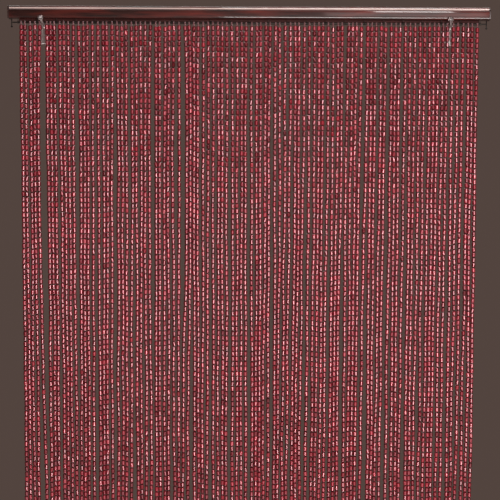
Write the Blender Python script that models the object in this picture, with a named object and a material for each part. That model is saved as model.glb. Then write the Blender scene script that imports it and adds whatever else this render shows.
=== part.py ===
"""Doorway bead curtain on a moulded wooden rail, held up by two clear wall hooks.

Lengths are in metres, +Z is up and the front faces -Y. The origin is the centre of the rail's
flat back, which lies against the wall at y = 0. A shorter batten lies under the rail, a row of
screw eyes stands in front of it and carries a thin rod, and 96 strings of beads hang from the
rod. Each hook is stuck to the wall, passes under the rod and ends in a knob in front of the rail.
"""

import math

import bmesh
import bpy
import numpy as np
from mathutils import Matrix, Vector

GAP = 0.0003  # between pieces that touch

# Rail: a moulding with a round bead along its top, a groove, and a slightly bowed face.
RAIL_LENGTH = 0.970  # with its two end caps
RAIL_HEIGHT = 0.024
RAIL_DEPTH = 0.022
TOP_BEAD_RADIUS = 0.0025
TOP_BEAD_DEPTH = 0.0190  # how far the bead reaches out from the wall
GROOVE_HEIGHT = 0.0016
FACE_TOP_RADIUS = 0.0022
FACE_FOOT_RADIUS = 0.0030
FACE_BOW = 0.0006
CAP_THICKNESS = 0.0026
CAP_PROUD = 0.0006

# Batten: a plain strip under the rail, behind the rod.
BATTEN_LENGTH = 0.930
BATTEN_DEPTH = 0.005
BATTEN_HEIGHT = 0.0082

# Rod, eyes and end pins.
ROD_RADIUS = 0.0012
ROD_Y = -0.011
ROD_DROP = 0.008  # from the rail's underside to the rod's centre
EYE_WIRE = 0.0007
EYE_RADIUS = 0.0026
EYE_TURN = 300.0  # degrees of ring that the wire makes
EYE_STEPS = 9
PIN_INSET = 0.0066  # from the rail's end to the pin's centre
PIN_RADIUS = 0.0010
PIN_LENGTH = 0.0175
PIN_BALL = 0.0020

# Strings of beads, in groups of four between neighbouring eyes.
GROUPS = 24
STRINGS_IN_GROUP = 4
GROUP_PITCH = 0.0388
STRING_PITCH = 0.0094
BEAD_DIAMETER = 0.0070
BEAD_PITCH = 0.0104
BEADS = 170
STRING_TOP = -0.0218
TAIL = 0.004  # thread and knot under the last bead
CLOSEST = BEAD_DIAMETER + 0.0004  # between the centres of neighbouring strings
BAR_Z = -0.0290
BAR_SIDE = 0.0020
STRING_SIDES = 6
STRING_LEVELS = 5  # sections of each string, its two ends included

# Wall hooks.
HOOK_X = (-0.4138, 0.4062)
HOOK_LEAN = (-0.0032, -0.0025)  # how far the knob stands to one side of the arm's root
HOOK_RADIUS = 0.00225
KNOB_RADIUS = 0.0050
PLATE_SIZE = (0.022, 0.003, 0.040)
PLATE_TOP = -0.0215
# The arm's middle line, from inside the plate to inside the knob.
ARM_ROUTE = (
    # out from the wall, height, share of the lean
    (0.0015, -0.0290, 0.0),
    (0.0055, -0.0275, 0.0),
    (0.0090, -0.0252, 0.0),
    (0.0125, -0.0243, 0.0),
    (0.0165, -0.0240, 0.1),
    (0.0202, -0.0225, 0.35),
    (0.0232, -0.0192, 0.65),
    (0.0255, -0.0155, 0.9),
    (0.0270, -0.0128, 1.0),
)

# Places where the strings stand apart: x at the top, x from FOLD_Z down, and half the width
# there that stays free of beads at the top and lower down.
FOLD_Z = -0.95
PARTINGS = (
    # x at top, x low down, half width at top, half width low down
    (HOOK_X[0], -0.4275, HOOK_RADIUS + 0.0004, 0.0029),
    (HOOK_X[1], 0.4060, HOOK_RADIUS + 0.0004, 0.0022),
    (0.3880, 0.3868, 0.0, 0.0028),
    (0.3492, 0.3492, 0.0, 0.0024),
    (-0.1335, -0.1290, 0.0, 0.0020),
    (0.1150, 0.1120, 0.0, 0.0017),
)

RAIL_FOOT = -RAIL_HEIGHT / 2
ROD_Z = RAIL_FOOT - ROD_DROP
PIN_X = RAIL_LENGTH / 2 - PIN_INSET
STRING_FOOT = STRING_TOP - BEADS * BEAD_PITCH - TAIL


def clear_scene():
    for obj in list(bpy.data.objects):
        bpy.data.objects.remove(obj, do_unlink=True)


def material(name, colour, roughness, metallic=0.0, transmission=0.0):
    made = bpy.data.materials.new(name)
    made.use_nodes = True
    shader = made.node_tree.nodes["Principled BSDF"]
    shader.inputs["Base Color"].default_value = (*colour, 1.0)
    shader.inputs["Roughness"].default_value = roughness
    shader.inputs["Metallic"].default_value = metallic
    shader.inputs["Transmission Weight"].default_value = transmission
    return made


def add_object(name, mesh, finish, smooth_angle=None):
    obj = bpy.data.objects.new(name, mesh)
    bpy.context.scene.collection.objects.link(obj)
    if not mesh.materials:
        mesh.materials.append(finish)
    if smooth_angle is not None:
        mesh.shade_smooth()
        mesh.set_sharp_from_angle(angle=math.radians(smooth_angle))
    return obj


def mesh_from(bm, name):
    bmesh.ops.recalc_face_normals(bm, faces=bm.faces)
    mesh = bpy.data.meshes.new(name)
    bm.to_mesh(mesh)
    bm.free()
    return mesh


def arc(centre, radius, start, end, steps):
    """Points (y, z) on an arc; angles in degrees, 0 along +y and 90 along +z."""
    turns = [math.radians(start + (end - start) * k / steps) for k in range(steps + 1)]
    return [(centre[0] + radius * math.cos(a), centre[1] + radius * math.sin(a)) for a in turns]


# ---------------------------------------------------------------- rail


def rail_outline(grow=0.0):
    """The moulding's section as (y, z) points. grow makes it larger, but not at the back."""
    top = RAIL_HEIGHT / 2 + grow
    foot = RAIL_FOOT - grow
    bead_centre = (TOP_BEAD_RADIUS - TOP_BEAD_DEPTH, RAIL_HEIGHT / 2 - TOP_BEAD_RADIUS)
    bead = arc(bead_centre, TOP_BEAD_RADIUS + grow, 90, 270, 8)
    face_y = FACE_BOW - RAIL_DEPTH - grow
    face_top_z = bead_centre[1] - TOP_BEAD_RADIUS - GROOVE_HEIGHT
    shoulder_centre = (face_y + FACE_TOP_RADIUS + grow, face_top_z - FACE_TOP_RADIUS)
    shoulder = arc(shoulder_centre, FACE_TOP_RADIUS + grow, 90, 180, 4)
    foot_centre = (face_y + FACE_FOOT_RADIUS + grow, foot + FACE_FOOT_RADIUS + grow)
    foot_round = arc(foot_centre, FACE_FOOT_RADIUS + grow, 180, 270, 4)
    rise = shoulder_centre[1] - foot_centre[1]
    bow = []
    for share in (0.25, 0.5, 0.75):
        out = FACE_BOW * math.sin(math.pi * share)
        bow.append((face_y - out, shoulder_centre[1] - rise * share))
    groove = [(bead_centre[0], face_top_z + grow)]
    return [(0.0, foot), (0.0, top), *bead, *groove, *shoulder, *bow, *foot_round]


def extruded_along_x(outline, start, end, name):
    bm = bmesh.new()
    ring = [bm.verts.new((start, y, z)) for y, z in outline]
    face = bm.faces.new(ring)
    grown = bmesh.ops.extrude_face_region(bm, geom=[face])
    moved = [item for item in grown["geom"] if isinstance(item, bmesh.types.BMVert)]
    bmesh.ops.translate(bm, verts=moved, vec=(end - start, 0, 0))
    return mesh_from(bm, name)


def build_batten(wood):
    top = RAIL_FOOT - GAP
    foot = top - BATTEN_HEIGHT
    outline = [(0.0, foot), (0.0, top), (-BATTEN_DEPTH, top), (-BATTEN_DEPTH, foot)]
    strip = extruded_along_x(outline, -BATTEN_LENGTH / 2, BATTEN_LENGTH / 2, "batten")
    add_object("batten", strip, wood)


def build_rail(wood, cap_finish):
    inner = RAIL_LENGTH / 2 - CAP_THICKNESS - GAP
    rail = extruded_along_x(rail_outline(), -inner, inner, "rail")
    add_object("rail", rail, wood, 30)
    for side, name in ((-1, "end_cap_left"), (1, "end_cap_right")):
        ends = sorted((side * (RAIL_LENGTH / 2 - CAP_THICKNESS), side * RAIL_LENGTH / 2))
        cap = extruded_along_x(rail_outline(CAP_PROUD), *ends, name)
        add_object(name, cap, cap_finish, 30)


# ---------------------------------------------------------------- rod, eyes, pins


def build_rod(steel):
    half = PIN_X - PIN_RADIUS - GAP
    turn = Matrix.Rotation(math.radians(90), 4, "Y")
    bm = bmesh.new()
    bmesh.ops.create_cone(
        bm,
        cap_ends=True,
        segments=12,
        radius1=ROD_RADIUS,
        radius2=ROD_RADIUS,
        depth=2 * half,
        matrix=turn,
    )
    rod = add_object("rod", mesh_from(bm, "rod"), steel, 40)
    rod.location = (0, ROD_Y, ROD_Z)


def eye_places():
    """x of each screw eye: one between every two groups, and one past each end."""
    first = -(GROUPS * GROUP_PITCH) / 2
    return [first + GROUP_PITCH * k for k in range(GROUPS + 1)]


def eye_route():
    """The wire's route in the plane across the rod, from the rail down and round the rod."""
    shank_top = ROD_DROP - 2 * GAP
    points = [(0.0, shank_top), (0.0, EYE_RADIUS + 2 * EYE_WIRE)]
    for step in range(EYE_STEPS + 1):
        angle = math.radians(90 - 12 - EYE_TURN * step / EYE_STEPS)
        points.append((EYE_RADIUS * math.cos(angle), EYE_RADIUS * math.sin(angle)))
    return points


def wire(name, points, radius, resolution):
    """A curve object of round wire with closed ends."""
    curve = bpy.data.curves.new(name, "CURVE")
    curve.dimensions = "3D"
    curve.bevel_depth = radius
    curve.bevel_resolution = resolution
    curve.use_fill_caps = True
    spline = curve.splines.new("POLY")
    spline.points.add(len(points) - 1)
    for point, place in zip(spline.points, points):
        point.co = (*place, 1.0)
    return curve


def build_eyes(steel):
    route = [(0.0, y, z) for y, z in eye_route()]
    curve = wire("eye_wire", route, EYE_WIRE, 0)
    for number, x in enumerate(eye_places(), 1):
        eye = add_object(f"eye_{number:02d}", curve, steel)
        # The ring hangs a little above the rod's centre, so that the rod lies in it.
        eye.location = (x, ROD_Y, ROD_Z + GAP)


def build_pins(steel):
    top = RAIL_FOOT - CAP_PROUD - GAP
    ball_z = top - PIN_LENGTH + PIN_BALL
    foot = PIN_RADIUS / PIN_BALL
    ball = arc((0.0, ball_z), PIN_BALL, 90 - math.degrees(math.asin(foot)), -90, 6)
    for side, name in ((-1, "end_pin_left"), (1, "end_pin_right")):
        bm = bmesh.new()
        profile = [(0.0, top), (PIN_RADIUS, top), *ball]
        line = [bm.verts.new((radius, 0.0, z)) for radius, z in profile]
        edges = [bm.edges.new(pair) for pair in zip(line, line[1:])]
        bmesh.ops.spin(
            bm,
            geom=line + edges,
            axis=(0, 0, 1),
            cent=(0, 0, 0),
            steps=10,
            angle=math.tau,
            use_merge=True,
        )
        bmesh.ops.remove_doubles(bm, verts=bm.verts, dist=1e-6)
        pin = add_object(name, mesh_from(bm, name), steel, 40)
        pin.location = (side * PIN_X, ROD_Y, 0)


# ---------------------------------------------------------------- strings of beads


def even_share(number, step):
    """A well spread share from 0 to 1 for each whole number, the same on every run."""
    return (number * step) % 1.0


def base_places():
    """x of each string as first threaded, four to a group and centred between two eyes."""
    in_group = STRING_PITCH * (np.arange(STRINGS_IN_GROUP) - (STRINGS_IN_GROUP - 1) / 2)
    middles = GROUP_PITCH * (np.arange(GROUPS) - (GROUPS - 1) / 2)
    return (middles[:, None] + in_group).ravel()


def partings_at(z):
    """(x, half width) of each parting at this height."""
    share = min(1.0, max(0.0, z / FOLD_Z))
    return [
        (top_x + (low_x - top_x) * share, top_half + (low_half - top_half) * share)
        for top_x, low_x, top_half, low_half in PARTINGS
    ]


def spaced(x, z, eyes=()):
    """Moves strings apart until none touches its neighbour, an eye or what fills a parting."""
    order = np.arange(len(x))
    walls = [(place, half) for place, half in partings_at(z) if half > 0]
    walls += [(place, EYE_WIRE + GAP) for place in eyes]
    rows = []
    for place, half in walls:
        left = np.sum(BASE_X < place)
        rows.append((place, half + BEAD_DIAMETER / 2, order < left))
    for _ in range(60):
        for place, reach, on_left in rows:
            x = np.where(on_left, np.minimum(x, place - reach), np.maximum(x, place + reach))
        short = np.maximum(0.0, CLOSEST - np.diff(x)) / 2
        x = x - np.append(short, 0.0) + np.insert(short, 0, 0.0)
    return x


def string_sway(number, z):
    """(x, y) that a string strays from straight down at this height."""
    depth = (STRING_TOP - z) / (STRING_TOP - STRING_FOOT)
    ease = 1 - math.exp(-7 * depth)
    own = 0.0022 * (2 * even_share(number + 1, 0.7549) - 1)
    turns = 0.8 + 1.1 * even_share(number + 1, 0.5698)
    start = even_share(number + 1, 0.6180)
    wave = 0.0014 * math.sin(math.tau * (turns * depth + start))
    group = 0.0016 * math.sin(number / 7.3 + 2.4 * depth) + 0.0012 * math.sin(number / 2.9 - 1.7 * depth)
    depth_wave = 0.0016 * math.sin(math.tau * (0.9 * depth + even_share(number + 1, 0.3819)))
    return ease * (own + wave + group), ease * depth_wave


def string_places(z):
    """x, y and z of every string's centre at this height, a row each."""
    sway = np.array([string_sway(number, z) for number in range(len(BASE_X))]).T
    return np.array([spaced(ROOT_X + sway[0], z), ROD_Y + sway[1], np.full(len(BASE_X), z)])


BASE_X = base_places()
ROOT_X = spaced(BASE_X, RAIL_FOOT, eye_places())


def build_strings(lacquer):
    """All the strings as one comb: a thin bar under the rod with a tooth for each string."""
    heights = np.linspace(STRING_TOP, STRING_FOOT, STRING_LEVELS)
    places = np.array([string_places(z) for z in heights])
    bm = bmesh.new()
    for number in range(len(BASE_X)):
        top = Matrix.Translation(places[0, :, number])
        made = bmesh.ops.create_circle(
            bm, cap_ends=True, segments=STRING_SIDES, radius=BEAD_DIAMETER / 2, matrix=top
        )
        face = made["verts"][0].link_faces[0]
        for level in range(1, STRING_LEVELS):
            grown = bmesh.ops.extrude_face_region(bm, geom=[face])
            if level > 1:
                bm.faces.remove(face)
            moved = [item for item in grown["geom"] if isinstance(item, bmesh.types.BMVert)]
            face = next(item for item in grown["geom"] if isinstance(item, bmesh.types.BMFace))
            step = places[level, :, number] - places[level - 1, :, number]
            bmesh.ops.translate(bm, verts=moved, vec=step)
    comb = add_object("bead_strings", mesh_from(bm, "bead_strings"), lacquer, 50)

    bar_length = ROOT_X[-1] - ROOT_X[0]
    bm = bmesh.new()
    bmesh.ops.create_cube(bm, size=1.0)
    bmesh.ops.scale(bm, verts=bm.verts, vec=(bar_length, BAR_SIDE, BAR_SIDE))
    bar = add_object("string_bar", mesh_from(bm, "string_bar"), lacquer)
    bar.location = ((ROOT_X[-1] + ROOT_X[0]) / 2, ROD_Y, BAR_Z)
    hide_helper(bar)
    join(comb, bar)


# ---------------------------------------------------------------- wall hooks


def hide_helper(obj):
    obj.hide_render = True
    obj.display_type = "WIRE"


def join(obj, helper):
    modifier = obj.modifiers.new(f"join_{helper.name}", "BOOLEAN")
    modifier.operation = "UNION"
    modifier.solver = "EXACT"
    modifier.object = helper


def smooth_route(points, steps):
    """Points on a Catmull-Rom curve through the given points."""
    ends = [2 * points[0] - points[1], *points, 2 * points[-1] - points[-2]]
    route = []
    for a, b, c, d in zip(ends, ends[1:], ends[2:], ends[3:]):
        for k in range(steps):
            t = k / steps
            square = 2 * a - 5 * b + 4 * c - d
            cube = 3 * b - a - 3 * c + d
            route.append(0.5 * (2 * b + (c - a) * t + square * t**2 + cube * t**3))
    return [*route, points[-1]]


def build_hook(name, x, lean, plastic):
    bm = bmesh.new()
    bmesh.ops.create_cube(bm, size=1.0)
    bmesh.ops.scale(bm, verts=bm.verts, vec=PLATE_SIZE)
    corners = [edge for edge in bm.edges if abs(edge.verts[0].co.y - edge.verts[1].co.y) > GAP]
    bmesh.ops.bevel(
        bm, geom=corners, offset=0.005, segments=4, profile=0.5, affect="EDGES", material=-1
    )
    middle = Vector((x, -PLATE_SIZE[1] / 2, PLATE_TOP - PLATE_SIZE[2] / 2))
    bmesh.ops.translate(bm, verts=bm.verts, vec=middle)
    hook = add_object(name, mesh_from(bm, name), plastic, 35)

    route = [Vector((x + lean * share, -out, z)) for out, z, share in ARM_ROUTE]
    arm_curve = wire(f"{name}_arm_line", smooth_route(route, 2), HOOK_RADIUS, 2)
    line = bpy.data.objects.new(f"{name}_arm_line", arm_curve)
    bpy.context.scene.collection.objects.link(line)
    bpy.context.view_layer.update()
    arm_mesh = bpy.data.meshes.new_from_object(line.evaluated_get(bpy.context.evaluated_depsgraph_get()))
    bpy.data.objects.remove(line)
    bm = bmesh.new()
    bm.from_mesh(arm_mesh)
    bmesh.ops.remove_doubles(bm, verts=bm.verts, dist=1e-6)
    arm = add_object(f"{name}_arm", mesh_from(bm, f"{name}_arm"), plastic)

    bm = bmesh.new()
    bmesh.ops.create_uvsphere(
        bm, u_segments=14, v_segments=9, radius=KNOB_RADIUS, matrix=Matrix.Translation(route[-1])
    )
    knob = add_object(f"{name}_knob", mesh_from(bm, f"{name}_knob"), plastic)
    for helper in (arm, knob):
        hide_helper(helper)
        join(hook, helper)


def main():
    clear_scene()
    rosewood = material("rosewood", (0.10, 0.022, 0.018), 0.22)
    cap_brown = material("cap_brown", (0.03, 0.010, 0.008), 0.35)
    dark_steel = material("dark_steel", (0.10, 0.09, 0.085), 0.35, metallic=0.9)
    clear_plastic = material("clear_plastic", (0.80, 0.62, 0.62), 0.12, transmission=0.6)
    red_lacquer = material("red_lacquer", (0.22, 0.012, 0.030), 0.25)
    build_rail(rosewood, cap_brown)
    build_batten(rosewood)
    build_rod(dark_steel)
    build_eyes(dark_steel)
    build_pins(dark_steel)
    build_strings(red_lacquer)
    for name, x, lean in zip(("wall_hook_left", "wall_hook_right"), HOOK_X, HOOK_LEAN):
        build_hook(name, x, lean, clear_plastic)


main()
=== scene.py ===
# %% [markdown]
# # A doorway bead curtain, dressed piece by piece
# A bead curtain is a wooden rail with a thin rod under it, and strings of wooden beads that hang
# from the rod. The frame that is loaded here gives the size and place of every piece. This lesson
# gives each piece its fine shape and its finish: the moulded rail, the eyes and pins, the clear
# wall hooks, the threads, and some sixteen thousand lacquered beads.

# %% Load the frame
import math

import bmesh
import bpy
import numpy as np
from mathutils import Matrix, Vector


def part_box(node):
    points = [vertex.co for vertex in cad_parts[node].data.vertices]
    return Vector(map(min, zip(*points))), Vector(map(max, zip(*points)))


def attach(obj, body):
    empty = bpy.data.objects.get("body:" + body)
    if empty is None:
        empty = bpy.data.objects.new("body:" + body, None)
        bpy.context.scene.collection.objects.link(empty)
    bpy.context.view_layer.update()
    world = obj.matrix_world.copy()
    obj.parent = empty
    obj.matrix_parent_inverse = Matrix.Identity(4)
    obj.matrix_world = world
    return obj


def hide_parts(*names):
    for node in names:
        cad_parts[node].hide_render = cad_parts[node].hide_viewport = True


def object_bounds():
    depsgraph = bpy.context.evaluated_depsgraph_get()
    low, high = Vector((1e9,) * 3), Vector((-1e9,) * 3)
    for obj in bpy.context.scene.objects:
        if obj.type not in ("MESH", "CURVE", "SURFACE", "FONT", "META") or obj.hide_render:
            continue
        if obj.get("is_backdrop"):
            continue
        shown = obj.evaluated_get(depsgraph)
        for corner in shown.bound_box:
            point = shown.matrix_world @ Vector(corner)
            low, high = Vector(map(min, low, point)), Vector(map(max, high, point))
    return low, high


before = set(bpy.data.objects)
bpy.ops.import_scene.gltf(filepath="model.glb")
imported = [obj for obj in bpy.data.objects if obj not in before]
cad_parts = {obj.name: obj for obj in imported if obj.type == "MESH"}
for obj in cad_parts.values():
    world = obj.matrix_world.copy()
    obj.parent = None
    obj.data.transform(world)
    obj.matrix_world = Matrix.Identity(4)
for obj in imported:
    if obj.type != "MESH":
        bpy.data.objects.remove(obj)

MM = 0.001
cad_low, cad_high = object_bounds()
print("the frame is", [round(size, 3) for size in cad_high - cad_low], "m")

# %% [markdown]
# ## Two small helpers
# Every piece ends the same way: its bmesh becomes a mesh, the mesh becomes an object at the
# origin, the object is told which body it moves with and which finish it has, and the plain solids
# it stands for are hidden. Writing that once keeps the later cells short.

# %% Helpers that finish a piece
def mesh_of(bm, name):
    """Closes a bmesh into a mesh, with its faces pointing out."""
    bmesh.ops.recalc_face_normals(bm, faces=bm.faces)
    mesh = bpy.data.meshes.new(name)
    bm.to_mesh(mesh)
    bm.free()
    return mesh


def add_piece(mesh, finish, stands_for=(), sharp=35):
    """Shows a mesh as a piece of the curtain. Edges turned by more than sharp degrees stay crisp."""
    mesh.shade_smooth()
    if sharp:
        mesh.set_sharp_from_angle(angle=math.radians(sharp))
    mesh.materials.append(finish)
    piece = bpy.data.objects.new(mesh.name, mesh)
    bpy.context.scene.collection.objects.link(piece)
    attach(piece, "root")
    if stands_for:
        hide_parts(*stands_for)
    return piece


def new_ends(grown):
    """The vertices that an extrude has just made."""
    return [item for item in grown["geom"] if isinstance(item, bmesh.types.BMVert)]


# %% [markdown]
# ## Helpers for finishes
# A finish is a small graph of nodes. Each graph starts from a Principled shader, whose fixed
# values are set on its own sockets, and adds texture nodes only for what changes over the
# surface: the grain, the colour from bead to bead, the wear of the gloss.

# %% Helpers that build a finish
class Finish:
    """A material and short ways to add nodes to it."""

    def __init__(self, name, **fixed):
        self.material = bpy.data.materials.new(name)
        self.material.use_nodes = True
        self.tree = self.material.node_tree
        self.shader = self.tree.nodes["Principled BSDF"]
        for socket, value in fixed.items():
            self.shader.inputs[socket.replace("_", " ")].default_value = value

    def node(self, kind, inputs=None, **settings):
        made = self.tree.nodes.new("ShaderNode" + kind)
        for key, value in settings.items():
            setattr(made, key, value)
        for key, value in (inputs or {}).items():
            if isinstance(value, bpy.types.NodeSocket):
                self.tree.links.new(value, made.inputs[key])
            else:
                made.inputs[key].default_value = value
        return made

    def drive(self, socket, value):
        self.tree.links.new(value, self.shader.inputs[socket])

    def stretched(self, scale):
        """Object coordinates, squeezed or stretched along each axis."""
        place = self.node("TexCoord").outputs["Object"]
        return self.node("Mapping", {"Vector": place, "Scale": scale}).outputs["Vector"]

    def noise(self, vector, scale, detail=4.0, roughness=0.5, distortion=0.0):
        values = {"Vector": vector, "Scale": scale, "Detail": detail, "Roughness": roughness}
        return self.node("TexNoise", {**values, "Distortion": distortion}).outputs["Fac"]

    def ramp(self, value, stops):
        """Colours along a value: stops are (place, (red, green, blue))."""
        made = self.node("ValToRGB", {"Fac": value})
        while len(made.color_ramp.elements) < len(stops):
            made.color_ramp.elements.new(0.5)
        for element, (place, colour) in zip(made.color_ramp.elements, stops):
            element.position = place
            element.color = (*colour, 1.0)
        return made.outputs["Color"]

    def between(self, value, low, high):
        """The value, taken from 0..1 to low..high."""
        return self.node("MapRange", {"Value": value, "To Min": low, "To Max": high}).outputs["Result"]

    def blend(self, share, first, second, mode="MIX"):
        made = self.node("Mix", data_type="RGBA", blend_type=mode)
        for socket, value in zip((0, 6, 7), (share, first, second)):
            if isinstance(value, bpy.types.NodeSocket):
                self.tree.links.new(value, made.inputs[socket])
            else:
                made.inputs[socket].default_value = value
        return made.outputs[2]

    def bump(self, height, strength, distance):
        made = self.node("Bump", {"Height": height, "Strength": strength, "Distance": distance})
        self.drive("Normal", made.outputs["Normal"])


# %% [markdown]
# ## Rosewood, dark lacquer over a long grain
# The rail is stained to look like rosewood: dark brown with redder drifts, and
# fine dark pores that run along the length. Noise that is stretched about forty times along X
# reads as grain, a slower noise moves the stain from brown to red, and a clear coat on top gives
# the wet look of lacquer.

# %% Rosewood
rosewood = Finish(
    "rosewood_lacquer", Specular_IOR_Level=0.12, Coat_Weight=0.9, Coat_Roughness=0.05, Coat_IOR=1.5
)
grain = rosewood.noise(rosewood.stretched((5, 190, 190)), 2.6, detail=7, roughness=0.62, distortion=0.5)
drift = rosewood.noise(rosewood.stretched((6, 40, 40)), 1.0, detail=2)
pores = rosewood.noise(rosewood.stretched((22, 900, 900)), 1.0, detail=3, roughness=0.7)
stain = rosewood.ramp(
    grain,
    [
        (0.30, (0.003, 0.0005, 0.0003)),
        (0.46, (0.009, 0.0013, 0.0007)),
        (0.60, (0.018, 0.0026, 0.0014)),
        (0.78, (0.030, 0.0046, 0.0026)),
    ],
)
redness = rosewood.ramp(drift, [(0.42, (0, 0, 0)), (0.68, (0.055, 0.0045, 0.0026))])
pored = rosewood.ramp(pores, [(0.34, (0.20, 0.16, 0.14)), (0.46, (1.0, 1.0, 1.0))])
wood = rosewood.blend(1.0, rosewood.blend(1.0, stain, redness, "SCREEN"), pored, "MULTIPLY")

# %% [markdown]
# A paler, pinkish band is painted along the rail's top bead: a painted highlight for the light from
# above that the round bead catches. It is a band of height in object space, a little broken up by the
# drift.

# %% Painted highlight on the top bead
# Painted highlight: between these two heights the top bead is painted a paler pink, standing in for the
# light from above that its round face catches.
HIGHLIGHT_BAND_TOP = 9.1 * MM
HIGHLIGHT_BAND_FOOT = 6.2 * MM
rail_place = rosewood.node("TexCoord").outputs["Object"]
height = rosewood.node("SeparateXYZ", {"Vector": rail_place}).outputs["Z"]
above = rosewood.node(
    "MapRange", {"Value": height, "From Min": HIGHLIGHT_BAND_FOOT, "From Max": HIGHLIGHT_BAND_FOOT + 0.5 * MM}
).outputs["Result"]
fade = {"From Min": HIGHLIGHT_BAND_TOP - 0.6 * MM, "From Max": HIGHLIGHT_BAND_TOP, "To Min": 1.0, "To Max": 0.0}
below = rosewood.node("MapRange", {"Value": height, **fade}).outputs["Result"]
band = rosewood.node("Math", {0: above, 1: below}, operation="MULTIPLY").outputs[0]
broken = rosewood.between(drift, 0.75, 1.05)
painted_top_highlight = rosewood.node("Math", {0: band, 1: broken}, operation="MULTIPLY").outputs[0]
painted_highlight_wood = rosewood.ramp(grain, [(0.3, (0.36, 0.25, 0.225)), (0.7, (0.50, 0.39, 0.365))])
# The painted highlight band is mixed over the wood in the base colour.
rosewood.drive("Base Color", rosewood.blend(painted_top_highlight, wood, painted_highlight_wood))
rosewood.drive("Roughness", rosewood.between(grain, 0.30, 0.48))
rosewood.bump(pores, 0.25, 0.0003)
print("rosewood has", len(rosewood.tree.nodes), "nodes")

# %% [markdown]
# ## The moulded rail
# The rail is a moulding: one section pushed along its whole length. The section starts as a few
# corners, which are the fewest points that describe it, and an extrude gives it its length. The
# round bead along the top, the soft shoulder under the groove and the bowed face are then bevels
# on the long edges, just as a cutter would run along the wood. A list of all the points of the
# curve would give the same shape, but nobody could read the radii from it.

# %% The moulding's corners
rail_low, rail_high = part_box("rail")
FACE_BOW = 0.6 * MM


def moulding_corners(low, high):
    """Rows of (y, z, radius of the round cut there, segments), from the back's foot upwards."""
    front = low.y + FACE_BOW
    grow = high.z - rail_high.z
    bead_front = -19.0 * MM - grow
    bead_foot = rail_high.z - 5.0 * MM - grow
    face_top = rail_high.z - 6.6 * MM + grow
    return [
        (0.0, low.z, 0.0, 0),
        (0.0, high.z, 0.0, 0),
        (bead_front, high.z, 2.49 * MM + grow, 8),
        (bead_front, bead_foot, 2.49 * MM + grow, 8),
        (-16.5 * MM, bead_foot, 0.0, 0),
        (-16.5 * MM, face_top, 0.0, 0),
        (front, face_top, 2.2 * MM, 6),
        (low.y, (face_top + low.z) / 2, 6.0 * MM, 8),
        (front, low.z, 3.0 * MM, 6),
    ]


# %% Extrude it and round its edges
def moulding(name, low, high):
    corners = moulding_corners(low, high)
    bm = bmesh.new()
    section = bm.faces.new([bm.verts.new((low.x, y, z)) for y, z, *_ in corners])
    grown = bmesh.ops.extrude_face_region(bm, geom=[section])
    bmesh.ops.translate(bm, verts=new_ends(grown), vec=(high.x - low.x, 0, 0))
    for y, z, radius, segments in corners:
        at_corner = Vector((0, y, z))
        along = [
            edge
            for edge in bm.edges
            if all(((vert.co - at_corner) * Vector((0, 1, 1))).length < 1e-6 for vert in edge.verts)
        ]
        if radius:
            bmesh.ops.bevel(
                bm,
                geom=along,
                offset=radius,
                segments=segments,
                profile=0.5,
                affect="EDGES",
                material=-1,
            )
    return mesh_of(bm, name)


rail = add_piece(moulding("rail_moulding", rail_low, rail_high), rosewood.material, ["rail"])
print("the rail has", len(rail.data.polygons), "faces")

# %% [markdown]
# ## The end caps
# A thin dark cap closes each end of the rail. It has the rail's own section, a little larger, so
# the same function makes it, and a small bevel all round its outer rim keeps it from looking like
# cut paper. Its finish is a moulded plastic: nearly even, with a fine pebbled surface.

# %% Caps
cap_finish = Finish("cap_brown", Coat_Weight=0.25, Coat_Roughness=0.2)
cap_place = cap_finish.stretched((1, 1, 1))
mottle = cap_finish.noise(cap_place, 260, detail=3)
cap_brown = cap_finish.ramp(mottle, [(0.3, (0.010, 0.004, 0.003)), (0.7, (0.028, 0.011, 0.009))])
cap_finish.drive("Base Color", cap_brown)
cap_finish.drive("Roughness", cap_finish.between(mottle, 0.28, 0.48))
cap_finish.bump(cap_finish.noise(cap_place, 1400, detail=2), 0.12, 0.0002)


def end_cap(side):
    low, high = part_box(f"end_cap_{side}")
    mesh = moulding(f"cap_{side}", low, high)
    bm = bmesh.new()
    bm.from_mesh(mesh)
    outer = low.x if side == "left" else high.x
    rim = [edge for edge in bm.edges if all(abs(vert.co.x - outer) < 1e-6 for vert in edge.verts)]
    bmesh.ops.bevel(bm, geom=rim, offset=0.4 * MM, segments=2, profile=0.5, affect="EDGES", material=-1)
    mesh = mesh_of(bm, f"end_cap_of_{side}")
    return add_piece(mesh, cap_finish.material, [f"end_cap_{side}"])


for side in ("left", "right"):
    end_cap(side)

# %% [markdown]
# ## The batten
# Behind the rod a plain strip of the same wood fills the space between rail and rod. It is a box,
# so it starts as a cube that is scaled to the frame's box, and its edges are eased the way
# sandpaper would ease them. Nobody looks at it, so it is stained dark but not lacquered, and its
# finish is rough and has no coat.

# %% Batten
def box_between(low, high, name, ease, segments=2):
    bm = bmesh.new()
    bmesh.ops.create_cube(bm, size=1.0)
    bmesh.ops.scale(bm, verts=bm.verts, vec=high - low)
    bmesh.ops.translate(bm, verts=bm.verts, vec=(low + high) / 2)
    bmesh.ops.bevel(
        bm, geom=bm.edges[:], offset=ease, segments=segments, profile=0.5, affect="EDGES", material=-1
    )
    return mesh_of(bm, name)


strip_stain = Finish("dark_strip_stain", Specular_IOR_Level=0.15)
fibre = strip_stain.noise(strip_stain.stretched((8, 300, 300)), 2.0, detail=5, roughness=0.6)
strip_brown = strip_stain.ramp(
    fibre, [(0.3, (0.010, 0.0020, 0.0016)), (0.7, (0.032, 0.0070, 0.0060))]
)
strip_stain.drive("Base Color", strip_brown)
strip_stain.drive("Roughness", strip_stain.between(fibre, 0.65, 0.85))
strip_stain.bump(fibre, 0.3, 0.0003)
batten_mesh = box_between(*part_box("batten"), "batten_strip", 0.4 * MM)
add_piece(batten_mesh, strip_stain.material, ["batten"])

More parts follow.
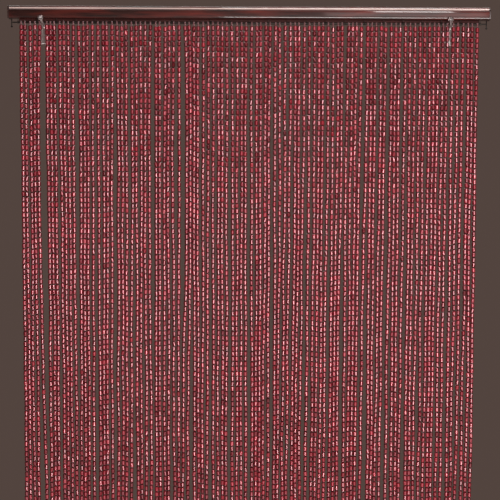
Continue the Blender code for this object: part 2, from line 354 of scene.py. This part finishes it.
# %% [markdown]
# ## Browned steel
# The rod, the eyes and the pins are thin steel wire with a brown-black finish. Thin metal shows
# mostly as reflections, so the finish is nearly all metal, with small changes in colour and
# roughness where hands and the plating bath left their marks.

# %% Steel finish
steel = Finish("browned_steel", Metallic=0.85)
steel_place = steel.stretched((1, 1, 1))
tarnish = steel.noise(steel_place, 420, detail=5, roughness=0.6)
browned = steel.ramp(tarnish, [(0.35, (0.008, 0.006, 0.005)), (0.70, (0.032, 0.027, 0.024))])
steel.drive("Base Color", browned)
steel.drive("Roughness", steel.between(tarnish, 0.32, 0.58))
steel.bump(steel.noise(steel_place, 2600, detail=2), 0.1, 0.0001)

# %% [markdown]
# ## The rod
# The rod is a long thin cylinder with rounded ends. A cone with two equal radii is a cylinder, and
# a bevel on its two rims makes the rounding.

# %% Rod
rod_low, rod_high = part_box("rod")
rod_middle = (rod_low + rod_high) / 2
rod_radius = (rod_high.z - rod_low.z) / 2


def round_bar(radius, length, segments, ease, place):
    """A bar with eased rims, made along Z and then put in place by a matrix."""
    bm = bmesh.new()
    bmesh.ops.create_cone(
        bm, cap_ends=True, segments=segments, radius1=radius, radius2=radius, depth=length
    )
    rims = [edge for edge in bm.edges if abs(edge.verts[0].co.z - edge.verts[1].co.z) < length / 2]
    bmesh.ops.bevel(bm, geom=rims, offset=ease, segments=3, profile=0.5, affect="EDGES", material=-1)
    bmesh.ops.transform(bm, matrix=place, verts=bm.verts)
    return bm


lying = Matrix.Translation(rod_middle) @ Matrix.Rotation(math.radians(90), 4, "Y")
rod_bm = round_bar(rod_radius, rod_high.x - rod_low.x, 20, 0.5 * MM, lying)
add_piece(mesh_of(rod_bm, "thin_rod"), steel.material, ["rod"], 50)
print("the rod is", round(rod_radius * 2 / MM, 1), "mm thick")

# %% [markdown]
# ## Wire pieces from curves
# A screw eye is one wire: a shank, a bend, and most of a turn round the rod. A curve with a bevel
# is the natural way to draw wire. The points come from a small formula, the curve makes the tube,
# and the result is kept as a mesh. The same helper serves the hooks' arms and the threads later.

# %% A tube through given points
def tubes(name, routes, radius, sides_step=2):
    """One mesh of round wire through each route of points."""
    curve = bpy.data.curves.new(name, "CURVE")
    curve.dimensions = "3D"
    curve.bevel_depth = radius
    curve.bevel_resolution = sides_step
    curve.use_fill_caps = True
    for route in routes:
        spline = curve.splines.new("POLY")
        spline.points.add(len(route) - 1)
        for point, place in zip(spline.points, route):
            point.co = (*place, 1.0)
    drawn = bpy.data.objects.new(name, curve)
    bpy.context.scene.collection.objects.link(drawn)
    bpy.context.view_layer.update()
    mesh = bpy.data.meshes.new_from_object(drawn.evaluated_get(bpy.context.evaluated_depsgraph_get()))
    bpy.data.objects.remove(drawn)
    bm = bmesh.new()
    bm.from_mesh(mesh)
    bmesh.ops.remove_doubles(bm, verts=bm.verts, dist=1e-7)
    return mesh_of(bm, name)


# %% The screw eyes
eye_names = sorted(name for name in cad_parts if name.startswith("eye_"))
EYE_WIRE = 0.7 * MM
EYE_TURN = 305


def eye_route(name, turn):
    """The wire of one eye, turned about its shank by a few degrees, as screws never line up."""
    low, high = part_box(name)
    middle = (low + high) / 2
    ring = (high.y - low.y) / 2 - EYE_WIRE
    facing = Vector((math.sin(math.radians(turn)), math.cos(math.radians(turn)), 0))
    centre = Vector((middle.x, middle.y, low.z + EYE_WIRE + ring))
    neck = ring * 1.75
    route = [Vector((middle.x, middle.y, high.z)), centre + Vector((0, 0, neck + 0.6 * MM))]
    bend = [(0.02, neck), (0.12, neck * 0.86), (0.34, neck * 0.70)]
    route += [centre + facing * out * ring + Vector((0, 0, up)) for out, up in bend]
    for step in range(25):
        angle = math.radians(90 - 32 - EYE_TURN * step / 24)
        route.append(centre + ring * (facing * math.cos(angle) + Vector((0, 0, math.sin(angle)))))
    return route


turns = [28 * math.sin(2.4 * number) for number in range(len(eye_names))]
eyes_mesh = tubes("screw_eyes", [eye_route(*pair) for pair in zip(eye_names, turns)], EYE_WIRE)
add_piece(eyes_mesh, steel.material, eye_names, 60)
print(len(eye_names), "screw eyes")

# %% [markdown]
# ## The end pins
# Under each end of the rail stands a thin pin with a ball tip. A turned shape is a profile spun
# about its axis, so the pin is half an outline and one full spin. The spin merges its last copy
# with the first, or a seam would be left open.

# %% Pins
def end_pin(side):
    low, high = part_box(f"end_pin_{side}")
    middle = (low + high) / 2
    ball = (high.x - low.x) / 2
    shank = ball / 2
    neck = math.sqrt(ball**2 - shank**2)
    profile = [(0.0, high.z), (shank * 0.8, high.z), (shank, high.z - 0.2 * MM)]
    turns = np.linspace(math.asin(neck / ball), -math.pi / 2, 9)
    profile += [(ball * math.cos(a), low.z + ball + ball * math.sin(a)) for a in turns]
    bm = bmesh.new()
    line = [bm.verts.new((middle.x + out, middle.y, z)) for out, z in profile]
    edges = [bm.edges.new(pair) for pair in zip(line, line[1:])]
    bmesh.ops.spin(
        bm, geom=line + edges, axis=(0, 0, 1), cent=middle, steps=20, angle=math.tau, use_merge=True
    )
    bmesh.ops.remove_doubles(bm, verts=bm.verts, dist=1e-6)
    add_piece(mesh_of(bm, f"pin_{side}"), steel.material, [f"end_pin_{side}"], 50)


for side in ("left", "right"):
    end_pin(side)

# %% [markdown]
# ## Clear plastic
# The wall hooks are moulded in clear plastic with a faint pink cast. Most of the light goes
# through, so the shader's transmission is high, and some roughness keeps the knob's glint soft.
# Slow noise in the roughness stands for the haze of handled plastic.

# %% Clear plastic finish
clear = Finish("clear_plastic", IOR=1.46, Transmission_Weight=0.95)
clear_place = clear.stretched((1, 1, 1))
haze = clear.noise(clear_place, 150, detail=3)
clear.drive("Base Color", clear.ramp(haze, [(0.3, (0.66, 0.56, 0.55)), (0.7, (0.80, 0.71, 0.70))]))
clear.drive("Roughness", clear.between(haze, 0.20, 0.38))
clear.bump(clear.noise(clear_place, 500, detail=2), 0.05, 0.0002)

# %% [markdown]
# ## The wall hooks
# Each hook is one moulding: a plate that is stuck to the wall, an arm that comes out under the
# rod and rises in front of it, and a round knob. The three are made apart, as an eased box, a
# tube and a ball, and a Boolean union makes them one closed skin, which clear plastic needs
# because light would otherwise show the walls inside.

# %% The arm's line
ARM_RADIUS = 2.25 * MM
KNOB_RADIUS = 5.0 * MM
ARM_ROUTE = (
    # out from the wall, height, share of the sideways lean
    (1.5, -29.0, 0.0),
    (5.5, -27.5, 0.0),
    (9.0, -25.2, 0.0),
    (12.5, -24.3, 0.0),
    (16.5, -24.0, 0.1),
    (20.2, -22.5, 0.35),
    (23.2, -19.2, 0.65),
    (25.5, -15.5, 0.9),
    (27.0, -12.8, 1.0),
)


def smooth_route(points, steps):
    """Points on a Catmull-Rom curve through the given points."""
    ends = [2 * points[0] - points[1], *points, 2 * points[-1] - points[-2]]
    route = []
    for a, b, c, d in zip(ends, ends[1:], ends[2:], ends[3:]):
        for t in np.arange(steps) / steps:
            bend = (2 * a - 5 * b + 4 * c - d) * t**2 + (3 * b - a - 3 * c + d) * t**3
            route.append((2 * b + (c - a) * t + bend) / 2)
    return [*route, points[-1]]


# %% Plate, arm and knob in one skin
def wall_hook(side, lean):
    low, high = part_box(f"wall_hook_{side}")
    x = (low.x + high.x) / 2
    plate_low = Vector((low.x, -3.0 * MM, low.z))
    plate_high = Vector((high.x, 0.0, -21.5 * MM))
    bm = bmesh.new()
    bmesh.ops.create_cube(bm, size=1.0)
    bmesh.ops.scale(bm, verts=bm.verts, vec=plate_high - plate_low)
    bmesh.ops.translate(bm, verts=bm.verts, vec=(plate_low + plate_high) / 2)
    corners = [edge for edge in bm.edges if abs(edge.verts[0].co.y - edge.verts[1].co.y) > MM]
    bmesh.ops.bevel(bm, geom=corners, offset=5 * MM, segments=8, profile=0.5, affect="EDGES", material=-1)
    front = [edge for edge in bm.edges if all(vert.co.y < -2.9 * MM for vert in edge.verts)]
    bmesh.ops.bevel(bm, geom=front, offset=1 * MM, segments=3, profile=0.5, affect="EDGES", material=-1)
    plate = bpy.data.objects.new(f"clear_hook_{side}", mesh_of(bm, f"clear_hook_{side}"))

    points = [Vector((x + lean * share, -out * MM, z * MM)) for out, z, share in ARM_ROUTE]
    arm = bpy.data.objects.new("arm", tubes("arm", [smooth_route(points, 4)], ARM_RADIUS, 4))
    bm = bmesh.new()
    bmesh.ops.create_uvsphere(
        bm, u_segments=28, v_segments=18, radius=KNOB_RADIUS, matrix=Matrix.Translation(points[-1])
    )
    knob = bpy.data.objects.new("knob", mesh_of(bm, "knob"))
    for thing in (plate, arm, knob):
        bpy.context.scene.collection.objects.link(thing)
    for thing in (arm, knob):
        union = plate.modifiers.new(thing.name, "BOOLEAN")
        union.operation = "UNION"
        union.solver = "EXACT"
        union.object = thing
    bpy.context.view_layer.update()
    evaluated = plate.evaluated_get(bpy.context.evaluated_depsgraph_get())
    mesh = bpy.data.meshes.new_from_object(evaluated)
    for thing in (plate, arm, knob):
        bpy.data.objects.remove(thing)
    mesh.name = f"clear_hook_{side}"
    return add_piece(mesh, clear.material, [f"wall_hook_{side}"], 40)


for side, lean in (("left", -3.2 * MM), ("right", -2.5 * MM)):
    hook = wall_hook(side, lean)
    print(hook.name, "has", len(hook.data.polygons), "faces")

# %% [markdown]
# ## Where each string hangs
# The frame holds all the strings as one comb with a tooth for each. Its corners lie in a few
# level rows, six to a tooth, so sorting a row by x and averaging six at a time gives the middle
# of every string at that height. A smooth curve through the rows then says where a string is at
# any height. Small slow waves are added, as thread keeps a memory of the spool, and strings that
# would cross are pushed apart.

# %% Read the comb
comb_low, comb_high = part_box("bead_strings")
corners = np.array([vert.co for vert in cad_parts["bead_strings"].data.vertices])
corners = np.unique(corners.round(6), axis=0)
heights, counts = np.unique(corners[:, 2].round(5), return_counts=True)
SIDES = 6
level_heights = heights[counts == counts[-1]][::-1]
rows = [corners[np.isclose(corners[:, 2], z, atol=2e-5)] for z in level_heights]
middles = np.array([row[np.argsort(row[:, 0])].reshape(-1, SIDES, 3).mean(axis=1) for row in rows])
STRINGS = middles.shape[1]
print(STRINGS, "strings read at", len(level_heights), "heights")

# %% Every bead's height on its string
BEAD_PITCH = 10.5 * MM
BEAD_LENGTH = 10.15 * MM
BEAD_RADIUS = 3.85 * MM
BEADS = 167
KNOT_ROOM = 2.4 * MM
TAIL = 4.0 * MM
chance = np.random.default_rng(96)

pitches = BEAD_PITCH * np.clip(chance.normal(1.0, 0.022, (BEADS, STRINGS)), 0.94, 1.06)
slack = 3.2 * MM * chance.random(STRINGS) ** 2
bead_z = comb_high.z - KNOT_ROOM - slack - np.cumsum(pitches, axis=0) + pitches / 2
print(BEADS, "beads to a string,", BEADS * STRINGS, "in all; the lowest is at", round(bead_z.min(), 3))

# %% [markdown]
# Sideways, the comb gives the line that a string follows. On top of it come slow waves, each with
# its own length and start, and a small slide of the loop along the rod. The loops beside a wall
# hook stay where they are. Wherever two strings would be closer than CLOSEST, both are
# pushed apart by half of what is missing, again and again. That distance is a little less than a
# bead's width, so beads on strings that hang close together do press into each other slightly.

# %% Every bead's place
CLOSEST = 7.4 * MM
LOOP_SLIDE = 0.75 * MM
HOOK_ROOM = 12 * MM
ROUNDS = 60
depth = comb_high.z - bead_z


def through_levels(axis):
    """The smooth curve of every string through the comb's rows, at every bead's height."""
    fit = np.polyfit(level_heights, middles[:, :, axis], len(level_heights) - 1)
    return sum(bead_z**power * row for power, row in enumerate(fit[::-1]))


def waves(size, shortest, longest, still=0.12):
    """Slow waves down each string, each with its own length and start; none at the rod."""
    length = chance.uniform(shortest, longest, STRINGS)
    start = chance.uniform(0, math.tau, STRINGS)
    strength = size * chance.uniform(0.3, 1.0, STRINGS) * (1 - np.exp(-depth / still))
    return strength * np.sin(math.tau * depth / length + start)


top_x = middles[0, :, 0]
hook_x = [(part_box(name)[0].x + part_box(name)[1].x) / 2 for name in ("wall_hook_left", "wall_hook_right")]
slide = chance.normal(0, LOOP_SLIDE, STRINGS)
slide[np.min(np.abs(top_x[:, None] - hook_x), axis=1) < HOOK_ROOM] = 0.0
bead_x = through_levels(0) + slide + waves(1.2 * MM, 0.25, 0.6) + waves(0.6 * MM, 0.08, 0.2)
bead_y = through_levels(1) + waves(1.0 * MM, 0.2, 0.6)
for _ in range(ROUNDS):
    short = np.maximum(0.0, CLOSEST - np.diff(bead_x, axis=1)) / 2
    bead_x[:, :-1] -= short
    bead_x[:, 1:] += short
bead_places = np.stack([bead_x, bead_y, bead_z], axis=2)
print("the closest strings are", round(np.diff(bead_x, axis=1).min() / MM, 2), "mm apart")

# %% [markdown]
# ## One bead
# A bead is a short wooden barrel with rounded shoulders. It is repeated thousands of times, so it
# may have only a few dozen faces: a seven-sided cylinder whose two rims are bevelled once. Smooth
# shading hides the flats. A second value, from -1 at its foot to 1 at its head, is kept with each
# corner, so that the finish can darken the bead's ends: partly the lacquer that gathers at the
# holes, partly painted shade in the seams where the beads meet.

# %% Bead
def bead_mesh():
    bm = bmesh.new()
    bmesh.ops.create_cone(
        bm, cap_ends=True, segments=7, radius1=BEAD_RADIUS, radius2=BEAD_RADIUS, depth=BEAD_LENGTH
    )
    rims = [edge for edge in bm.edges if abs(edge.verts[0].co.z - edge.verts[1].co.z) < MM]
    bmesh.ops.bevel(bm, geom=rims, offset=1.35 * MM, segments=1, profile=0.5, affect="EDGES", material=-1)
    return mesh_of(bm, "one_bead")


bead = bead_mesh()
print("a bead has", len(bead.polygons), "faces")

# %% [markdown]
# ## Many copies in one mesh
# Thousands of separate objects would be slow and would make a file that nobody could use. Each
# group of four strings is therefore one mesh, in which the bead's corners are repeated as arrays.
# Each copy has its own small turn, tilt and size, since no two turned beads are alike and the
# thread leaves them some play.

# %% Repeat a small mesh as arrays
def copies(template, name, matrices, values, crisp_rims=False):
    """One mesh with a copy of the template for each matrix. values gives a named number to each copy."""
    base = np.empty(len(template.vertices) * 3)
    template.vertices.foreach_get("co", base)
    base = np.c_[base.reshape(-1, 3), np.ones(len(template.vertices))]
    loop_vertex = np.empty(len(template.loops), np.int32)
    template.loops.foreach_get("vertex_index", loop_vertex)
    starts = np.empty(len(template.polygons), np.int32)
    template.polygons.foreach_get("loop_start", starts)
    number = np.arange(len(matrices))[:, None]
    placed = np.einsum("nij,vj->nvi", matrices, base)[:, :, :3]
    mesh = bpy.data.meshes.new(name)
    mesh.vertices.add(placed.size // 3)
    mesh.loops.add(len(loop_vertex) * len(matrices))
    mesh.polygons.add(len(starts) * len(matrices))
    mesh.vertices.foreach_set("co", placed.ravel())
    mesh.loops.foreach_set("vertex_index", (loop_vertex + number * len(base)).ravel())
    mesh.polygons.foreach_set("loop_start", (starts + number * len(loop_vertex)).ravel())
    mesh.update(calc_edges=True)
    along = np.tile(base[:, 2] / np.abs(base[:, 2]).max(), len(matrices))
    if crisp_rims:
        ends = np.empty(len(mesh.edges) * 2, np.int32)
        mesh.edges.foreach_get("vertices", ends)
        at_ends = along[ends.reshape(-1, 2)]
        rims = (np.ptp(at_ends, axis=1) < 1e-4) & (np.abs(at_ends[:, 0]) < 0.99)
        mesh.attributes.new("sharp_edge", "BOOLEAN", "EDGE").data.foreach_set("value", rims)
    layers = {"along": along}
    layers.update({key: np.repeat(value, len(base)) for key, value in values.items()})
    for key, value in layers.items():
        mesh.attributes.new(key, "FLOAT", "POINT").data.foreach_set("value", value)
    return mesh


def turned(places, tilt, sizes):
    """A matrix for each place: a small random tilt, any turn about the string, and a size."""
    matrices = []
    for place, size in zip(places, sizes):
        turn = Matrix.Rotation(chance.uniform(0, math.tau), 4, "Z")
        lean_x = Matrix.Rotation(math.radians(chance.normal(0, tilt)), 4, "X")
        lean_y = Matrix.Rotation(math.radians(chance.normal(0, tilt)), 4, "Y")
        grown = Matrix.Diagonal(size).to_4x4()
        matrices.append(Matrix.Translation(place) @ lean_x @ lean_y @ turn @ grown)
    return np.array(matrices)


# %% [markdown]
# ## Bead lacquer
# The beads are dipped in a wine-red gloss paint. The red varies a little from bead to bead, the
# ends are darker, partly where the paint gathers at the holes and partly as painted shade in the
# seams between beads, and the wood under it shows as faint streaks along the bead. Some beads are
# shinier than others, so the second number kept with each bead sets its roughness. A red tint on
# the base shine and a clear coat over it give both the broad rosy sheen and the small white glint.

# %% Lacquer
lacquer = Finish(
    "bead_lacquer",
    Specular_IOR_Level=1.0,
    Specular_Tint=(1.0, 0.41, 0.47, 1.0),
    Coat_Weight=0.35,
    Coat_Roughness=0.08,
)
tone = lacquer.node("Attribute", attribute_name="tone").outputs["Fac"]
along = lacquer.node("Attribute", attribute_name="along").outputs["Fac"]
gloss = lacquer.node("Attribute", attribute_name="gloss").outputs["Fac"]
streaks = lacquer.noise(lacquer.stretched((900, 900, 120)), 1.0, detail=3)
red = lacquer.ramp(
    tone,
    [
        (0.00, (0.036, 0.0008, 0.0020)),
        (0.35, (0.072, 0.0016, 0.0044)),
        (0.70, (0.116, 0.0030, 0.0078)),
        (1.00, (0.180, 0.0075, 0.0145)),
    ],
)
faint = lacquer.ramp(streaks, [(0.3, (0.8, 0.7, 0.7)), (0.7, (1, 1, 1))])
streaked = lacquer.blend(1.0, red, faint, "MULTIPLY")
reach = lacquer.node("Math", {0: along}, operation="ABSOLUTE").outputs[0]
# Painted shade, partly real: the last quarter of each bead towards its holes darkens, for lacquer that
# pools there and for the shade in the seams where beads meet.
pooled_paint_and_seam_shade = lacquer.ramp(reach, [(0.74, (1, 1, 1)), (1.0, (0.16, 0.10, 0.10))])
lacquer.drive("Base Color", lacquer.blend(1.0, streaked, pooled_paint_and_seam_shade, "MULTIPLY"))
lacquer.drive("Roughness", lacquer.between(gloss, 0.24, 0.50))
lacquer.bump(streaks, 0.12, 0.0002)

# %% String the beads
GROUP = 4
TILT = 4.4  # degrees of play on the thread
for first in range(0, STRINGS, GROUP):
    places = bead_places[:, first : first + GROUP].transpose(1, 0, 2).reshape(-1, 3)
    many = len(places)
    width = chance.normal(1.0, 0.025, many)
    lengths = (pitches[:, first : first + GROUP] / BEAD_PITCH).T.ravel()
    sizes = np.c_[width, width, lengths]
    values = {"tone": chance.beta(2.2, 2.6, many), "gloss": chance.uniform(0, 1, many)}
    name = f"beads_{first // GROUP + 1:02d}"
    mesh = copies(bead, name, turned(places, TILT, sizes), values, crisp_rims=True)
    piece = add_piece(mesh, lacquer.material, ["bead_strings"] if first == 0 else [], 0)
print(many, "beads in", piece.name)

# %% [markdown]
# ## Threads, loops and knots
# A dark red thread runs through each string. At the top it is doubled, goes over the rod and comes
# back, and a knot stops the first bead. At the foot another knot carries the last one. The thread
# is hardly seen between the beads, so it has few sides and few points, while the loop over the
# rod, which does show, is a proper teardrop.

# %% Thread finish
thread = Finish("red_thread", Sheen_Weight=0.4, Sheen_Roughness=0.5)
twist = thread.noise(thread.stretched((1500, 1500, 2600)), 1.0, detail=2, distortion=1.5)
thread_red = thread.ramp(twist, [(0.3, (0.024, 0.003, 0.004)), (0.7, (0.130, 0.014, 0.020))])
thread.drive("Base Color", thread_red)
thread.drive("Roughness", thread.between(twist, 0.6, 0.9))
thread.bump(twist, 0.5, 0.0002)

# %% Threads
THREAD = 0.7 * MM
LOOP_GAP = 0.7 * MM
string_tops = [Vector((*bead_places[0, n, :2], bead_z[0, n] + BEAD_PITCH / 2)) for n in range(STRINGS)]


def loop_route(top, shift):
    """Up in front of the rod, over it and down behind, as a teardrop."""
    wrap = rod_radius + THREAD + 0.05 * MM
    rod_at = Vector((top.x, rod_middle.y, rod_middle.z))
    route = [top + Vector((shift * 0.3, -0.3 * MM, 0.3 * MM))]
    for angle in np.radians(np.linspace(-35, 215, 13)):
        route.append(rod_at + Vector((shift, -math.cos(angle) * wrap, math.sin(angle) * wrap)))
    route.append(top + Vector((shift * 0.3, 0.3 * MM, 0.3 * MM)))
    return route


def down_route(number):
    """From the upper knot through all the beads to the knot at the foot."""
    points = [Vector(place) for place in bead_places[::8, number]] + [Vector(bead_places[-1, number])]
    return [string_tops[number], *points, points[-1] - Vector((0, 0, BEAD_LENGTH / 2 + TAIL * 0.6))]


loops = [loop_route(top, shift) for top in string_tops for shift in (-LOOP_GAP, LOOP_GAP)]
drops = [down_route(number) for number in range(STRINGS)]
add_piece(tubes("thread_loops", loops, THREAD, 1), thread.material, sharp=0)
add_piece(tubes("threads", drops, THREAD, 1), thread.material, sharp=0)
lengths = [sum((b - a).length for a, b in zip(drop, drop[1:])) for drop in drops]
print("the threads run", round(min(lengths), 3), "to", round(max(lengths), 3), "m through their beads")

# %% [markdown]
# A knot is a small ball whose surface swells and sinks in a slanting wave, so that it looks wound.
# It is repeated nearly two hundred times, so the ball has few faces.

# %% Knots
def knot_mesh():
    bm = bmesh.new()
    bmesh.ops.create_uvsphere(bm, u_segments=8, v_segments=6, radius=1.6 * MM)
    for vert in bm.verts:
        swirl = math.atan2(vert.co.y, vert.co.x) * 2 + vert.co.z * 2600
        vert.co *= 1 + 0.16 * math.sin(swirl)
    return mesh_of(bm, "one_knot")


knot_places = [top + Vector((0, 0, 0.9 * MM)) for top in string_tops] + [drop[-1] for drop in drops]
knots = copies(knot_mesh(), "knots", turned(knot_places, 8, np.ones((len(knot_places), 3))), {})
add_piece(knots, thread.material, sharp=0)
print(len(knot_places), "knots")

# %% [markdown]
# ## Floor, light and camera
# The curtain hangs over a plain pale floor. Gloss needs something to reflect, so the light comes
# from soft panels. Three wide strips in front, one above the other, draw the patch of light on
# each bead; one tall panel would wash the red out. One on the right lays a grey sheen on that end
# of the rail, with a brighter strip in its shoulder, and one above draws the pale line along the
# rail's top bead. A panel behind rims the beads, and the dim warm surroundings fill the rest.

# %% Floor
FLOOR_DROP = 0.06
FLOOR_HALF = 2.2
bm = bmesh.new()
bmesh.ops.create_grid(bm, x_segments=1, y_segments=1, size=FLOOR_HALF)
bmesh.ops.translate(bm, verts=bm.verts, vec=(0, 0, comb_low.z - FLOOR_DROP))
floor_finish = Finish("pale_floor", Roughness=0.8)
patches = floor_finish.noise(floor_finish.stretched((1, 1, 1)), 1.5)
pale = floor_finish.ramp(patches, [(0.3, (0.40, 0.38, 0.365)), (0.7, (0.44, 0.42, 0.405))])
floor_finish.drive("Base Color", pale)
floor = bpy.data.objects.new("floor", mesh_of(bm, "floor"))
floor.data.materials.append(floor_finish.material)
bpy.context.scene.collection.objects.link(floor)
floor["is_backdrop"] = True


# %% Light
def panel(name, place, aim, width, height, brightness, colour=(1.0, 0.97, 0.95)):
    """A soft panel. Its brightness is how bright its face looks, so size and look are set apart."""
    light = bpy.data.lights.new(name, "AREA")
    light.shape = "RECTANGLE"
    light.size = width
    light.size_y = height
    light.energy = brightness * math.pi * width * height
    light.color = colour
    lamp = bpy.data.objects.new(name, light)
    lamp.location = place
    lamp.rotation_euler = (Vector(aim) - Vector(place)).to_track_quat("-Z", "Y").to_euler()
    lamp.visible_camera = False
    bpy.context.scene.collection.objects.link(lamp)


for number, height in enumerate((-0.19, -0.80, -1.41)):
    panel(f"front_panel_{number + 1}", (0.85, -2.6, height), (0.4, 0, height), 2.0, 0.34, 28.0)
panel("rail_panel", (0.68, -2.4, 0.42), (0.3, 0, 0), 0.7, 0.34, 1.4)
panel("shoulder_panel", (0.73, -2.4, 0.90), (0.3, 0, 0), 0.35, 0.50, 19.0)
panel("top_panel", (0.0, -1.4, 2.1), (0, 0, -0.3), 2.6, 0.8, 4.0)
panel("back_panel", (0.0, 2.4, 1.9), (0, 0, -0.8), 2.6, 1.0, 5.0)
world = bpy.data.worlds.new("studio")
world.use_nodes = True
world.node_tree.nodes["Background"].inputs["Color"].default_value = (0.085, 0.058, 0.049, 1.0)
bpy.context.scene.world = world
bpy.context.scene.view_settings.view_transform = "Standard"

# %% Camera
CAMERA_DISTANCE = 2.0  # from the rail's face
PITCH_DOWN = 3.9
ROLL = -0.25
camera = bpy.data.objects.new("camera", bpy.data.cameras.new("camera"))
camera.data.sensor_width = 36
camera.data.lens = 70.87
camera.location = (0.0033, rail_low.y - CAMERA_DISTANCE, -0.341)
camera.rotation_euler = (math.radians(90 - PITCH_DOWN), math.radians(ROLL), 0)
bpy.context.scene.collection.objects.link(camera)
bpy.context.scene.camera = camera

# %% [markdown]
# ## Sizes, then finish
# The finished curtain may not outgrow the frame, so both boxes are gathered side by side, and the finished
# size is printed.

# %% Both boxes
look_low, look_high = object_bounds()
sizes = {"cad": [list(cad_low), list(cad_high)], "look": [list(look_low), list(look_high)]}
print("the finished curtain is", [round(size, 3) for size in look_high - look_low], "m")
